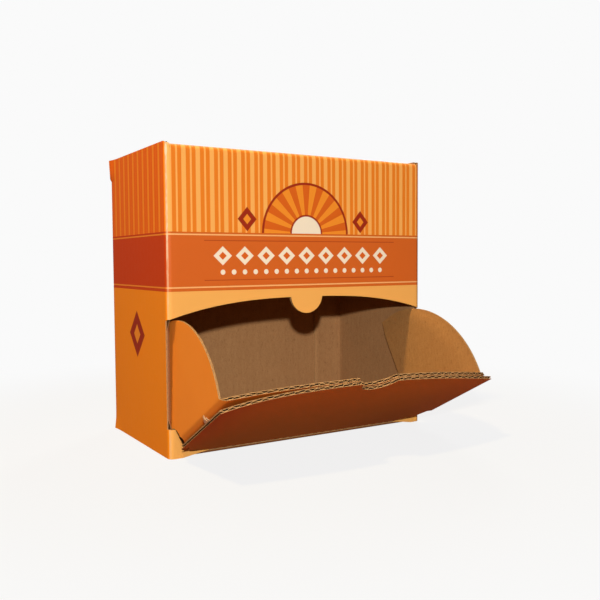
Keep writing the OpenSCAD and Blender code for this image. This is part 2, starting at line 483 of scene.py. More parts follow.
class Graph:
    """The node tree of a material, a lamp or the world."""

    def __init__(self, owner: bpy.types.ID) -> None:
        """Take over the owner's node tree.

        Args:
            owner: The material, the lamp or the world.
        """
        owner.use_nodes = True
        self.owner = owner
        self.tree = owner.node_tree

    @classmethod
    def material(cls, name: str) -> "Graph":
        """Make a material with an empty Principled surface."""
        return cls(bpy.data.materials.new(name))

    def own(self, kind: str) -> bpy.types.Node:
        """The tree's own node of a type, such as its output."""
        return next(n for n in self.tree.nodes if n.type == kind)

    def make(self, kind: str, settings: dict[str, Any] | None = None, output: int | str = 0,
             **inputs: Any) -> Socket:
        """Add a node.

        Args:
            kind: The node's type.
            settings: Properties that are set first.
            output: Name or number of the output to return.
            inputs: Values or links by socket name; a name such as at_1 means socket 1.

        Returns:
            The output socket.
        """
        node = self.tree.nodes.new(kind)
        for key, value in (settings or {}).items():
            setattr(node, key, value)
        for key, value in inputs.items():
            number = key.removeprefix(NUMBERED)
            target = node.inputs[key if number == key else int(number)]
            self.feed(target, value)
        return Socket(self, node.outputs[output])

    def feed(self, target: bpy.types.NodeSocket, value: Any) -> None:
        """Link a wrapped socket to an input, or set the input's value.

        Args:
            target: The input.
            value: A wrapped socket, a colour or a plain value.
        """
        if isinstance(value, Socket):
            self.tree.links.new(value.socket, target)
        elif isinstance(value, tuple) and target.type == "RGBA":
            target.default_value = (*value, 1.0)
        else:
            target.default_value = value

    def math(self, operation: str, *values: Any) -> Socket:
        """Add a Math node on one, two or three values."""
        inputs = {f"{NUMBERED}{i}": v for i, v in enumerate(values)}
        return self.make("ShaderNodeMath", {"operation": operation}, **inputs)

    def mix(self, share: Any, first: Any, second: Any) -> Socket:
        """Mix two colours by a share of the second."""
        return self.make("ShaderNodeMix", {"data_type": "RGBA"}, output=2,
                         at_0=share, at_6=first, at_7=second)

    def noise(self, where: Socket, scale: float, detail: float) -> Socket:
        """Smooth noise from 0 to 1 at a scale given in repeats for each metre."""
        return self.make("ShaderNodeTexNoise", Vector=where, Scale=scale, Detail=detail)

    def stretched(self, where: Socket, stretch: Triple) -> Socket:
        """Coordinates scaled by a factor on each axis."""
        return self.make("ShaderNodeMapping", Vector=where, Scale=stretch)

    def object_place(self) -> Socket:
        """Object coordinates of the surface."""
        return self.make("ShaderNodeTexCoord", output="Object")

    def sheet_place(self) -> tuple[Socket, Socket]:
        """Distances across and along the flutes, from the sheet's own print coordinates."""
        across, along, _ = self.parts(self.make("ShaderNodeUVMap", {"uv_map": SHEET_UV}))
        return across, along

    def parts(self, vector: Socket) -> tuple[Socket, ...]:
        """The three numbers of a vector."""
        node = self.make("ShaderNodeSeparateXYZ", Vector=vector).socket.node
        return tuple(Socket(self, output) for output in node.outputs)

    def bump(self, height: Socket, distance: float, strength: float) -> Socket:
        """Normal of a surface raised by a height of 0 to 1 times a distance."""
        return self.make("ShaderNodeBump", Height=height, Distance=distance, Strength=strength)

    def seen(self, gloss_share: float) -> tuple[Socket, Socket]:
        """Find the rays that see a backdrop: camera rays, rays let through and a share of glossy ones.

        Args:
            gloss_share: How much of the backdrop a glossy ray sees.

        Returns:
            The mask of all those rays, and the mask of the camera's rays alone.
        """
        camera, glossy, through = (self.make("ShaderNodeLightPath", output=f"Is {kind} Ray")
                                   for kind in ("Camera", "Glossy", "Transmission"))
        return camera.most(through).most(glossy * gloss_share), camera

    def surface(self, **inputs: Any) -> bpy.types.Material:
        """Feed the Principled surface.

        Args:
            inputs: Values or links by socket name, with underscores in place of spaces.

        Returns:
            The material.
        """
        shader = self.own("BSDF_PRINCIPLED")
        for key, value in inputs.items():
            self.feed(shader.inputs[key.replace("_", " ")], value)
        return self.owner


@dataclass(frozen=True)
class Inks:
    """Print colours of one group of panels."""

    stripe: Colour
    stripe_light: Colour
    band: Colour
    field: Colour
    rule: Colour


@dataclass(frozen=True)
class Lozenge:
    """A printed lozenge with a smaller one inside it; half sizes in millimetres."""

    half_w: float
    half_h: float
    ink: Colour = RUSSET
    heart: Colour = AMBER
    heart_share: float = 0.42
    soft: float = 0.03

    def over(self, g: Graph, paint: Socket, u: Socket, z: Socket, where: Any = 1.0) -> Socket:
        """Print the lozenge over a colour.

        A place's reach is the sum of its distances from the middle, each divided by the half size that
        way. The lozenge ends at a reach of one, and its heart at a share of it.

        Args:
            g: The material's nodes.
            paint: Colour below the lozenge.
            u: Distance across from its middle.
            z: Height above its middle.
            where: Mask of the panel that carries it.

        Returns:
            The colour with the lozenge.
        """
        reach = abs(u) * (1 / self.half_w) + abs(z) * (1 / self.half_h)
        paint = g.mix((1 - reach.above(1.0, self.soft)) * where, paint, self.ink)
        return g.mix((1 - reach.above(self.heart_share, self.soft)) * where, paint, self.heart)


@dataclass(frozen=True)
class Crest:
    """A half round of rays that rises from the band, with a lozenge at each side; in millimetres."""

    rim_r: float = 35.0
    rays_r: float = 33.4
    core_rim_r: float = 13.0
    core_r: float = 11.8
    soft: float = 0.2
    ray_turn: float = math.pi / 9
    ray_span: tuple[float, float] = (math.pi / 36, math.pi / 12)
    ray_soft: float = 0.006
    mark: Lozenge = Lozenge(7.0, 8.0)
    mark_out: float = 46.0
    mark_up: float = 9.0

    def over(self, g: Graph, paint: Socket, u: Socket, rise: Socket, on_front: Socket) -> Socket:
        """Print the half round over a colour, as discs that get smaller.

        A disc is where the root of the squared distances from the middle of the band's upper edge is
        below its radius, and the rays repeat with the angle about that point.

        Args:
            g: The material's nodes.
            paint: Colour below the half round.
            u: Distance across from the middle of the front.
            rise: Height above the band.
            on_front: Mask of the front.

        Returns:
            The colour with the half round.
        """
        reach = g.math("SQRT", u * u + rise * rise)
        up = rise.above(0.0, EDGE_SOFT) * on_front
        ray = g.math("ARCTAN2", rise, u).share(self.ray_turn).within(*self.ray_span, self.ray_soft)
        rays = g.mix(ray, AMBER, COPPER)
        discs = ((self.rim_r, RUSSET), (self.rays_r, rays), (self.core_rim_r, RUSSET), (self.core_r, CREAM))
        for radius, ink in discs:
            paint = g.mix(up * (1 - reach.above(radius, self.soft)), paint, ink)
        return self.mark.over(g, paint, abs(u) - self.mark_out, rise - self.mark_up, on_front)


@dataclass(frozen=True)
class BandRow:
    """A row of cream lozenges over a row of dots, between two thin dark rules; in millimetres."""

    rules_z: tuple[float, float] = (112.3, 137.8)
    rule_half: float = 0.3
    rule_out: float = 77.0
    rule_ink: float = 0.6
    mark: Lozenge = Lozenge(6.6, 6.2, CREAM, COPPER)
    mark_pitch: float = 16.0
    mark_z: float = 128.0
    mark_out: float = 71.0
    dot_r: float = 1.7
    dot_pitch: float = 8.0
    dot_z: float = 117.4
    dot_out: float = 68.0

    def over(self, g: Graph, paint: Socket, u: Socket, z: Socket, on_front: Socket) -> Socket:
        """Print the row over a colour.

        Lozenges and dots repeat with the place across, and each is drawn in its own repeat.

        Args:
            g: The material's nodes.
            paint: Colour below the row.
            u: Distance across from the middle of the front.
            z: Height.
            on_front: Mask of the front.

        Returns:
            The colour with the row.
        """
        for rule in self.rules_z:
            line = z.within(rule - self.rule_half, rule + self.rule_half, EDGE_SOFT)
            line = line * self._inside(u, self.rule_out)
            paint = g.mix(line * on_front * self.rule_ink, paint, RUSSET)
        where = self._inside(u, self.mark_out) * on_front
        paint = self.mark.over(g, paint, self._cell(u, self.mark_pitch), z - self.mark_z, where)
        bead, drop = self._cell(u, self.dot_pitch), z - self.dot_z
        dots = 1 - g.math("SQRT", bead * bead + drop * drop).above(self.dot_r, EDGE_SOFT)
        return g.mix(dots * on_front * self._inside(u, self.dot_out), paint, CREAM)

    @staticmethod
    def _inside(u: Socket, out: float) -> Socket:
        """Mask of the places that lie nearer to the middle than a distance."""
        return 1 - abs(u).above(out, EDGE_SOFT)

    @staticmethod
    def _cell(u: Socket, pitch: float) -> Socket:
        """Distance across from the middle of the repeat that a place is in."""
        return (u + pitch / 2).share(pitch) - pitch / 2


@dataclass(frozen=True)
class FoldWearAndHighlight:
    """Pale cracks where the print is stretched round the front left fold, and a painted highlight on the
    upper fold.

    A pair of numbers is a mask's edge and half the width of its blur.
    """

    speckle_stretch: Triple = (1.0, 1.0, 0.25)
    speckle_scale: float = 900.0
    speckle_detail: float = 3.0
    crack: tuple[float, float] = (0.54, 0.12)
    fold_reach: tuple[float, float] = (2.6 * MM, 0.6 * MM)
    line_reach: tuple[float, float] = (0.95 * MM, 0.35 * MM)
    line_rise: tuple[float, float] = (112 * MM, 34 * MM)
    line_low: float = 0.30
    line_more: float = 0.55
    line_whole: float = 0.55
    chip_z: float = 193.4 * MM
    chip_half_h: float = 4.2 * MM
    chip_half_w: float = 1.35 * MM
    chip_edge: tuple[float, float] = (0.85, 0.2)
    # The last four set the painted highlight along the front's upper fold.
    highlight_z: tuple[float, float] = (196.6 * MM, 0.6 * MM)
    highlight_reach: tuple[float, float] = (1.6 * MM, 0.7 * MM)
    highlight_level: float = 0.2
    highlight_speckle: float = 0.3

    def mask(self, g: Graph, place: Socket, half_w: float, half_d: float) -> Socket:
        """Find bare paper and painted highlight: the largest of a line, a chip and a painted highlight.

        The line follows the fold's diagonal and grows stronger upwards, broken by a speckle. The chip
        is an ellipse on that line, and the painted highlight lies along the front's upper fold.

        Args:
            g: The material's nodes.
            place: Object coordinates.
            half_w: Half the carton's width.
            half_d: Half the carton's depth.

        Returns:
            The mask of bare paper and of the painted highlight.
        """
        x, y, z = g.parts(place)
        speckle = g.noise(g.stretched(place, self.speckle_stretch), self.speckle_scale, self.speckle_detail)
        cracked = speckle.above(*self.crack)
        from_left, from_front = x + half_w, y + half_d
        off_fold = abs(from_left - from_front)
        at_fold = 1 - from_left.most(from_front).above(*self.fold_reach)
        line = (1 - off_fold.above(*self.line_reach)) * at_fold
        strength = self.line_low + z.above(*self.line_rise) * self.line_more
        fold = line * strength * (self.line_whole + cracked * (1 - self.line_whole))
        bend = abs(z - self.chip_z) * (1 / self.chip_half_h)
        reach = off_fold * (1 / self.chip_half_w)
        chip = (1 - (bend * bend + reach * reach).above(*self.chip_edge)) * at_fold
        near_front = 1 - from_front.above(*self.highlight_reach)
        # Painted highlight: the front's upper fold drawn lighter, as if it caught the light, broken by the
        # speckle.
        top = z.above(*self.highlight_z) * near_front * (self.highlight_level + self.highlight_speckle * cracked)
        return fold.most(chip).most(top)


@dataclass(frozen=True)
class Varnish:
    """Surface of a printed liner: faint ribs over the flutes, fine grain and a dull gloss."""

    gloss: float
    rough: float
    rough_swing: float = 0.10
    rough_scale: float = 300.0
    rough_worn: float = 0.3
    grain_scale: float = 1800.0
    detail: float = 2.0
    rib_weight: float = 0.5
    grain_weight: float = 0.12
    height: float = 0.02 * MM
    strength: float = 0.6

    def finish(self, g: Graph, paint: Socket, across: Socket, place: Socket,
               worn_and_highlit: Socket | None = None) -> bpy.types.Material:
        """Coat a print.

        The relief is a sine wave of the flutes' pitch with noise added, and the roughness is a level
        with noise added, more on bare paper and on the painted highlight.

        Args:
            g: The material's nodes.
            paint: Colour of the print.
            across: Distance across the flutes.
            place: Object coordinates.
            worn_and_highlit: Mask of bare paper and of the painted highlight, if there is any.

        Returns:
            The material.
        """
        ribs = g.math("SINE", across * BOARD.turn)
        relief = ribs * self.rib_weight + g.noise(place, self.grain_scale, self.detail) * self.grain_weight
        rough = self.rough + g.noise(place, self.rough_scale, self.detail) * self.rough_swing
        if worn_and_highlit is not None:
            rough = rough + worn_and_highlit * self.rough_worn
        return g.surface(Base_Color=paint, Roughness=rough, Specular_IOR_Level=self.gloss,
                         Normal=g.bump(relief, self.height, self.strength))


@dataclass(frozen=True)
class PrintFinish:
    """Printed and varnished outer liner: stripes, a band with a plain ornament, and a plain field.

    Sizes of the print are in millimetres.
    """

    front: Inks = Inks(
        stripe=linear(240, 133, 37), stripe_light=linear(254, 184, 96), band=linear(217, 105, 37),
        field=linear(251, 184, 95), rule=linear(251, 192, 122))
    # The other panels' inks are deeper copies of the front's: painted shade for the side and back faces.
    flank_shaded: Inks = Inks(
        stripe=linear(244, 107, 14), stripe_light=linear(255, 148, 40), band=linear(208, 68, 13),
        field=linear(255, 149, 28), rule=linear(246, 150, 52))
    stripe_pitch: float = 9.67
    wide_stripe: tuple[float, float] = (2.65, 5.69)
    thin_stripe: tuple[float, float] = (8.44, 9.67)
    stripe_shift: float = 7.35
    flank_shift: float = 2.3
    flank_thin_loss: float = 0.8
    band_z: tuple[float, float] = (105.6, 143.1)
    rules_z: tuple[float, float] = (108.0, 141.5)
    rule_half: float = 0.45
    crest: Crest = Crest()
    row: BandRow = BandRow()
    flank_mark: Lozenge = Lozenge(15.0, 16.0)
    flank_mark_z: float = 75.0
    mottle_scale: float = 55.0
    mottle_detail: float = 4.0
    mottle_weight: float = 0.05
    wear_and_highlight: FoldWearAndHighlight = FoldWearAndHighlight()
    varnish: Varnish = Varnish(gloss=0.15, rough=0.44)

    def build(self, walls: "CartonWalls") -> bpy.types.Material:
        """Make the printed finish.

        Args:
            walls: The carton's walls, which give the front's and the flanks' sizes.

        Returns:
            The material.
        """
        g = Graph.material("printed_liner")
        across, along = g.sheet_place()
        u, z = across * (1 / MM), along * (1 / MM)
        place = g.object_place()
        half_w, half_d = walls.half_w / MM, walls.half_d / MM
        on_front = u.within(-half_w, half_w, EDGE_SOFT)
        paint = self._grounds(g, u, z, 1 - on_front)
        paint = self.crest.over(g, paint, u, z - self.band_z[1], on_front)
        paint = self.row.over(g, paint, u, z, on_front)
        paint = self.flank_mark.over(g, paint, u + (half_w + half_d), z - self.flank_mark_z)
        mottled = g.noise(place, self.mottle_scale, self.mottle_detail)
        paint = g.mix(mottled * self.mottle_weight, paint, COPPER)
        # The mask holds bare paper at the rubbed left fold and a painted highlight along the upper fold.
        worn_and_highlit = self.wear_and_highlight.mask(g, place, walls.half_w, walls.half_d)
        return self.varnish.finish(g, g.mix(worn_and_highlit, paint, BARE_PAPER_AND_HIGHLIGHT), across, place, worn_and_highlit)

    def _grounds(self, g: Graph, u: Socket, z: Socket, on_flank: Socket) -> Socket:
        """Lay stripes above, a deep band with its rules, and the plain field below.

        The stripes repeat with the place across, and the heights part the grounds.

        Args:
            g: The material's nodes.
            u: Distance across from the middle of the front.
            z: Height.
            on_flank: Mask of all panels but the front, whose inks hold painted shade.

        Returns:
            The colour.
        """
        # Panels other than the front take the deeper inks, which hold painted shade.
        ink = {name: g.mix(on_flank, getattr(self.front, name), getattr(self.flank_shaded, name))
               for name in ("stripe", "stripe_light", "band", "field", "rule")}
        turn = (u + self.stripe_shift + on_flank * self.flank_shift).share(self.stripe_pitch)
        thin = turn.within(*self.thin_stripe, EDGE_SOFT) * (1 - on_flank * self.flank_thin_loss)
        light = turn.within(*self.wide_stripe, EDGE_SOFT).most(thin)
        striped = g.mix(light, ink["stripe"], ink["stripe_light"])
        low, high = self.band_z
        paint = g.mix(z.above(low, EDGE_SOFT), ink["field"], ink["band"])
        paint = g.mix(z.above(high, EDGE_SOFT), paint, striped)
        for rule in self.rules_z:
            line = z.within(rule - self.rule_half, rule + self.rule_half, EDGE_SOFT)
            paint = g.mix(line, paint, ink["rule"])
        return paint


@dataclass(frozen=True)
class ShadedPlainPrintFinish:
    """An outer liner printed in one orange that is a little uneven, deeper than the front's field as painted
    shade.
    """

    name: str
    ink: Colour
    deep: Colour
    patch_scale: float = 40.0
    patch_detail: float = 4.0
    patch_weight: float = 0.35
    varnish: Varnish = Varnish(gloss=0.08, rough=0.46)

    def build(self) -> bpy.types.Material:
        """Make the plain printed finish, with a deeper ink mixed in by noise.

        Returns:
            The material.
        """
        g = Graph.material(self.name)
        across, _ = g.sheet_place()
        place = g.object_place()
        patchy = g.noise(place, self.patch_scale, self.patch_detail) * self.patch_weight
        return self.varnish.finish(g, g.mix(patchy, self.ink, self.deep), across, place)


@dataclass(frozen=True)
class KraftFinish:
    """Bare brown liner with long fibres, faint ribs over the flutes and small flecks.

    A pair of numbers is a mask's edge and half the width of its blur.
    """

    name: str
    pale: Colour
    dark: Colour
    fleck: Colour
    fibre_stretch: Triple = (1.0, 1.0, 0.3)
    fibre_scale: float = 700.0
    fibre_detail: float = 5.0
    fibre_weight: float = 0.6
    cloud_scale: float = 28.0
    cloud_detail: float = 3.0
    cloud_weight: float = 0.4
    rib_weight: float = 0.10
    grain_scale: float = 1100.0
    grain_edge: tuple[float, float] = (0.56, 0.14)
    grain_weight: float = 0.16
    fleck_stretch: Triple = (1.0, 1.0, 0.5)
    fleck_scale: float = 620.0
    fleck_edge: tuple[float, float] = (0.68, 0.04)
    fleck_weight: float = 0.26
    fine_detail: float = 2.0
    rib_relief: float = 0.35
    fibre_relief: float = 0.3
    height: float = 0.03 * MM
    strength: float = 0.7
    gloss: float = 0.08
    rough: float = 0.82
    rough_swing: float = 0.12

    def build(self) -> bpy.types.Material:
        """Make the kraft finish.

        Stretched noise gives fibres, wide noise gives clouds, a cosine wave of the flutes' pitch gives
        ribs, and noise above an edge gives grain and flecks.

        Returns:
            The material.
        """
        g = Graph.material(self.name)
        across, _ = g.sheet_place()
        place = g.object_place()
        fibre = g.noise(g.stretched(place, self.fibre_stretch), self.fibre_scale, self.fibre_detail)
        cloud = g.noise(place, self.cloud_scale, self.cloud_detail)
        paint = g.mix(fibre * self.fibre_weight + cloud * self.cloud_weight, self.dark, self.pale)
        rib = g.math("COSINE", across * BOARD.turn)
        paint = g.mix((rib * 0.5 + 0.5) * self.rib_weight, paint, self.dark)
        grain = g.noise(place, self.grain_scale, self.fine_detail).above(*self.grain_edge)
        paint = g.mix(grain * self.grain_weight, paint, self.fleck)
        flecks = g.noise(g.stretched(place, self.fleck_stretch), self.fleck_scale, self.fine_detail)
        paint = g.mix(flecks.above(*self.fleck_edge) * self.fleck_weight, paint, self.fleck)
        relief = rib * self.rib_relief + fibre * self.fibre_relief
        return g.surface(Base_Color=paint, Roughness=self.rough + fibre * self.rough_swing,
                         Specular_IOR_Level=self.gloss,
                         Normal=g.bump(relief, self.height, self.strength))


@dataclass
class Finishes:
    """The finishes that the boards share."""

    printed: bpy.types.Material
    # Deeper orange of the lip and the insert, which holds painted shade.
    plain: bpy.types.Material
    kraft: bpy.types.Material
    insert_kraft: bpy.types.Material
    flutes: bpy.types.Material
    cut: bpy.types.Material
    torn: bpy.types.Material

    @classmethod
    def mixed(cls, walls: "CartonWalls") -> "Finishes":
        """Make every finish.

        Args:
            walls: The carton's walls, which the print is laid out on.

        Returns:
            The finishes.
        """
        return cls(
            printed=PrintFinish().build(walls),
            # The lip and the insert take an orange deeper than the front's field: painted shade for their
            # faces that get little light.
            plain=ShadedPlainPrintFinish(
                "plain_print_painted_shade", ink=linear(255, 154, 56), deep=linear(240, 131, 40)).build(),
            kraft=KraftFinish(
                "kraft_liner", pale=linear(179, 135, 88), dark=linear(145, 101, 63),
                fleck=linear(86, 55, 31)).build(),
            insert_kraft=KraftFinish(
                "insert_kraft", pale=linear(185, 135, 77), dark=linear(150, 101, 54),
                fleck=linear(88, 53, 27)).build(),
            flutes=KraftFinish(
                "fluted_sheet", pale=linear(142, 98, 56), dark=linear(104, 68, 38),
                fleck=linear(76, 50, 28)).build(),
            cut=KraftFinish(
                "cut_edge", pale=linear(206, 164, 114), dark=linear(166, 122, 78),
                fleck=linear(112, 76, 44)).build(),
            torn=KraftFinish(
                "torn_paper", pale=linear(252, 216, 170), dark=linear(236, 190, 140),
                fleck=linear(196, 148, 100)).build(),
        )

    def of(self, side: Side, outer: bpy.types.Material | None = None,
           inner: bpy.types.Material | None = None) -> tuple[bpy.types.Material, ...]:
        """Materials of a sheet's outer face, inner face and cut rim.

        Args:
            side: The sheet.
            outer: Finish of the printed face, where it isn't the striped one.
            inner: Finish of the bare face, where it isn't the carton's kraft.

        Returns:
            The three materials.
        """
        if side is Side.PRINT:
            return outer or self.printed, self.flutes, self.cut
        if side is Side.KRAFT:
            return self.flutes, inner or self.kraft, self.cut
        return self.flutes, self.flutes, self.cut


def ridden(obj: bpy.types.Object, body: str, node: str, slot: str) -> None:
    """Fasten a piece to its body and hide the solid that it stands for.

    Args:
        obj: The piece.
        body: Body that it rides on.
        node: Solid that it replaces.
        slot: Material slot of the record; not used.
    """
    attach(obj, body)
    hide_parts(node)
    LOG.info("%s rides on %s with %d faces", obj.name, body, len(obj.data.polygons))


def still(points: Array) -> Array:
    """Leave points where they are."""
    return points


@dataclass
class FrontCut:
    """The cut lines of the carton's front, shared by the walls, the lip and the insert."""

    half_w: float
    spring_z: float = 87.7 * MM
    rise: float = 12.1 * MM
    power: float = 2.65
    tab_r: float = 12.75 * MM
    tab_drop: float = 11.5 * MM
    notch_count: int = 49
    corner_h: float = 18.7 * MM
    corner_foot: float = 11.5 * MM
    corner_run: float = 24.8 * MM
    corner_end: float = 8.9 * MM
    tail_end: float = 27.0 * MM
    tail_gap: float = 0.1 * MM
    crease_z: float = BOARD.thick

    @property
    def crown_z(self) -> float:
        """Height of the arch's crown."""
        return self.spring_z + self.rise

    @property
    def tab_z(self) -> float:
        """Height of the thumb tab's centre."""
        return self.crown_z - self.tab_drop + self.tab_r

    def arch(self, x: Array) -> Array:
        """Height of the arch, which falls with a power of the distance from the middle."""
        share = np.clip(np.abs(x) / self.half_w, 0, 1)
        return self.crown_z - self.rise * share ** self.power

    def rim(self, x: Array, gap: float) -> Array:
        """Height of the arch less a gap, with the round notch of the thumb tab cut below it.

        Args:
            x: Places across.
            gap: Width of the cut.

        Returns:
            The heights: the lower of the arch and a circle's lower half.
        """
        radius = self.tab_r + gap
        dip = self.tab_z - np.sqrt(np.clip(radius ** 2 - x ** 2, 0, None))
        line = self.arch(x) - gap
        return np.where(np.abs(x) < radius, np.minimum(line, dip), line)

    def notch_samples(self, gap: float) -> Array:
        """Places across the notch, closer together where its sides are steep."""
        angles = np.linspace(0, math.pi, self.notch_count)
        return -(self.tab_r + gap) * np.cos(angles)

    def corner_kinks(self, gap: float) -> Array:
        """Places across at which the corner's outline changes, at both ends.

        Args:
            gap: Width of the cut.

        Returns:
            The places.
        """
        top = self.corner_foot * (1 - (self.corner_h - self.crease_z) / self.corner_run)
        inset = np.array([top, self.corner_end, self.tail_end]) + gap
        return np.concatenate([inset - self.half_w, self.half_w - inset])

    def slant(self, x: Array) -> Array:
        """Height of the straight slanted cut at the lower corners."""
        inset = self.half_w - np.abs(x)
        return self.crease_z + (self.corner_foot - inset) * self.corner_run / self.corner_foot

    def corner(self, x: Array) -> Array:
        """Height of the lower corners' cut: flat, then slanted, then a straight tail along the crease.

        Args:
            x: Places across.

        Returns:
            The heights.
        """
        end_z = float(self.slant(np.array(self.half_w - self.corner_end)))
        share = (self.tail_end - self.half_w + np.abs(x)) / (self.tail_end - self.corner_end)
        tail = self.crease_z + (end_z - self.crease_z) * np.clip(share, 0, 1)
        return np.minimum(self.corner_h, np.where(share < 1, tail, self.slant(x)))

    def tail_foot(self, x: Array) -> Array:
        """Lower edge of the corner's tail, which rises in a straight line to the crease."""
        share = (self.half_w - np.abs(x) - self.corner_end) / (self.tail_end - self.corner_end)
        return (self.crease_z - self.tail_gap) * np.clip(share, 0, 1)


@dataclass
class CartonWalls:
    """The strip of board that makes the back, left, front and right walls and the seam flap."""

    cut: FrontCut
    half_w: float
    half_d: float
    high: float
    fold_r: float = 3.6 * MM
    lid_drop: float = 1.5 * MM
    lid_half_w: float = 99.25 * MM
    lid_end_step: float = 0.08 * MM
    lid_end_slack: float = 0.04 * MM
    fold_slack: float = 0.05 * MM
    nest_gap: float = 0.5 * MM
    edge_gap: float = 0.4 * MM
    edge_press: float = 1.7 * MM
    edge_bevel: float = 1.3 * MM
    edge_fade: float = 6.0 * MM
    arch_end: float = 2.0 * MM
    arch_fade: float = 8.0 * MM
    flap_w: float = 25.0 * MM
    flap_end: float = 24.0 * MM
    flap_foot: float = 13.0 * MM
    flap_slant: float = math.radians(5)
    flap_press: float = 0.7 * MM
    flap_press_from: float = 1.5 * MM
    flap_press_run: float = 9.0 * MM
    glue: float = 0.15 * MM
    seam_bend: float = 0.3 * MM
    front_thirds: float = 2.4
    bulge_h: float = 13.5 * MM
    bulge_run: float = 2.0 * MM
    bulge_wide: float = 9.0 * MM
    bulge_deep: float = 8.0 * MM
    bulge_top: float = 1.8 * MM
    bulge_loss: float = 0.7 * MM
    bulge_foot: float = 1.0 * MM
    bulge_foot_h: float = 12.0 * MM
    bulge_back: float = 0.2
    bow_back: float = 0.5 * MM
    bow_front: float = 0.15 * MM
    bow_skin: float = 6.0 * MM
    path: Path = field(init=False)
    left_edge: float = field(init=False)
    front_mid: float = field(init=False)
    right_edge: float = field(init=False)
    seam: float = field(init=False)
    fold_z: float = field(init=False)

    def __post_init__(self) -> None:
        """Lay out the strip's path and find the places where its outline changes."""
        w, d, t = self.half_w, self.half_d, BOARD.thick
        flap_y = d - t - self.glue
        corners = [(w, d), (-w, d), (-w, -d), (w, -d), (w, flap_y), (w - t - self.flap_w, flap_y)]
        self.path = Path(corners, self.fold_r)
        third = self.path.length / 3
        edge_y = -d + t + self.edge_gap
        self.left_edge = self.path.where(1, edge_y, 2 * w, 2 * w + 2 * d - self.fold_r)
        self.front_mid = self.path.where(0, 0.0, third, self.front_thirds * third)
        self.right_edge = 2 * self.front_mid - self.left_edge
        self.seam = self.path.where(1, flap_y - self.seam_bend, self.right_edge, self.path.length)
        self.fold_z = self.high - self.lid_drop - t

    @property
    def nested_half_w(self) -> float:
        """Half the width of a panel that lies between the side walls."""
        return self.half_w - BOARD.thick - self.nest_gap

    def place(self, along: Array, level: Array) -> Laid:
        """Lay the walls' printed face: the path's plan carried up to each level.

        Args:
            along: Distances along the path.
            level: Heights.

        Returns:
            Points, outward normals and tangents across the flutes.
        """
        point, normal = self.path.at(along)
        flat = np.zeros_like(along)
        spot = np.stack([point[..., 0], point[..., 1], level], -1)
        out = np.stack([normal[..., 0], normal[..., 1], flat], -1)
        way = np.stack([-normal[..., 1], normal[..., 0], flat], -1)
        return spot, out, way

    def uv(self, along: Array, level: Array) -> Array:
        """Print coordinates: distance from the middle of the front, and height."""
        return np.stack([along - self.front_mid, level], -1)

    def levels(self, side: Side) -> Array:
        """Heights of the grid rows, with every height at which the outline changes.

        Args:
            side: The sheet.

        Returns:
            The heights.
        """
        step_z = self.high - self.bulge_h
        fixed = (self.flap_foot, self.high - self.flap_end, self.fold_z,
                 self.cut.corner_h, self.cut.corner_h + self.edge_fade,
                 self.cut.spring_z, self.cut.spring_z - self.edge_fade,
                 step_z, step_z - self.bulge_run)
        row_step = BOARD.tall_row_step if side is Side.FLUTES else BOARD.row_step
        return samples(0.0, self.high, row_step, fixed)

    def patches(self, side: Side) -> list[Patch]:
        """Lay the grids of one sheet of the walls.

        Args:
            side: The sheet.

        Returns:
            The patches: left and back, front, right, the seam flap, and the two corner pieces.
        """
        step = BOARD.column_step(side, BOARD.liner_step)
        end, mid = self.path.length, self.front_mid
        bevels = (self.left_edge - self.edge_bevel, self.right_edge + self.edge_bevel, end - self.edge_bevel)
        folds = np.concatenate([self.path.marks, bevels])
        kinks = np.concatenate([folds, mid + self.cut.corner_kinks(0.0)])
        foot = mid - self.half_w + self.cut.tail_end
        rows = self.levels(side)
        front_rows = rows[rows >= self.cut.spring_z]
        flap_rows = rows[(rows >= self.flap_foot) & (rows <= self.high - self.flap_end)]
        corner_rows = rows[rows <= self.cut.corner_h]
        wall = (rows, self._wall_limits, self._edge_thickness)
        corner = (corner_rows, self._corner_limits, self._full_thickness)
        panels = [
            (samples(0.0, self.left_edge, step, folds), *wall),
            (self._front_columns(step, folds), front_rows, self._front_limits, self._front_thickness),
            (samples(self.right_edge, self.seam, step, folds), *wall),
            (samples(self.seam, end, step, folds), flap_rows, self._flap_limits, self._flap_thickness),
            (samples(self.left_edge, foot, step, kinks), *corner),
            (samples(2 * mid - foot, self.right_edge, step, kinks), *corner),
        ]
        return [self._panel(side, *panel) for panel in panels]

    def _panel(self, side: Side, columns: Array, rows: Array, limits: Limits,
               thickness: Callable[[Array, Array], Array]) -> Patch:
        """Lay one panel, with its rows stretched between its lower and upper outline.

        Args:
            side: The sheet.
            columns: Distances of the grid columns.
            rows: Heights that the rows' shares are taken from.
            limits: Gives the lower and upper outline.
            thickness: Gives the board's thickness at distances and heights.

        Returns:
            The patch.
        """
        share = (rows - rows[0]) / (rows[-1] - rows[0])
        low, high = limits(columns)
        along = np.repeat(columns[:, None], len(share), 1)
        level = low[:, None] + (high - low)[:, None] * share[None, :]
        return grid_patch(along, level, side, self.place, self.uv, thickness(along, level))

    def _full_thickness(self, along: Array, _level: Array) -> Array:
        """Thickness of a panel that nothing has pressed."""
        return np.full_like(along, BOARD.thick)

    def _flap_thickness(self, along: Array, _level: Array) -> Array:
        """Thickness of the seam flap, pressed by a smooth step from its fold and bevelled at its end.

        Args:
            along: Distances along the path.
            _level: Heights, which make no difference.

        Returns:
            The thickness at each place.
        """
        from_fold = along - self.seam - self.flap_press_from
        edge = np.clip(1 - (self.path.length - along) / self.edge_bevel, 0, 1)
        pressed = self.flap_press * smooth_step(from_fold / self.flap_press_run)
        return BOARD.thick - pressed - (self.edge_press - self.flap_press) * edge

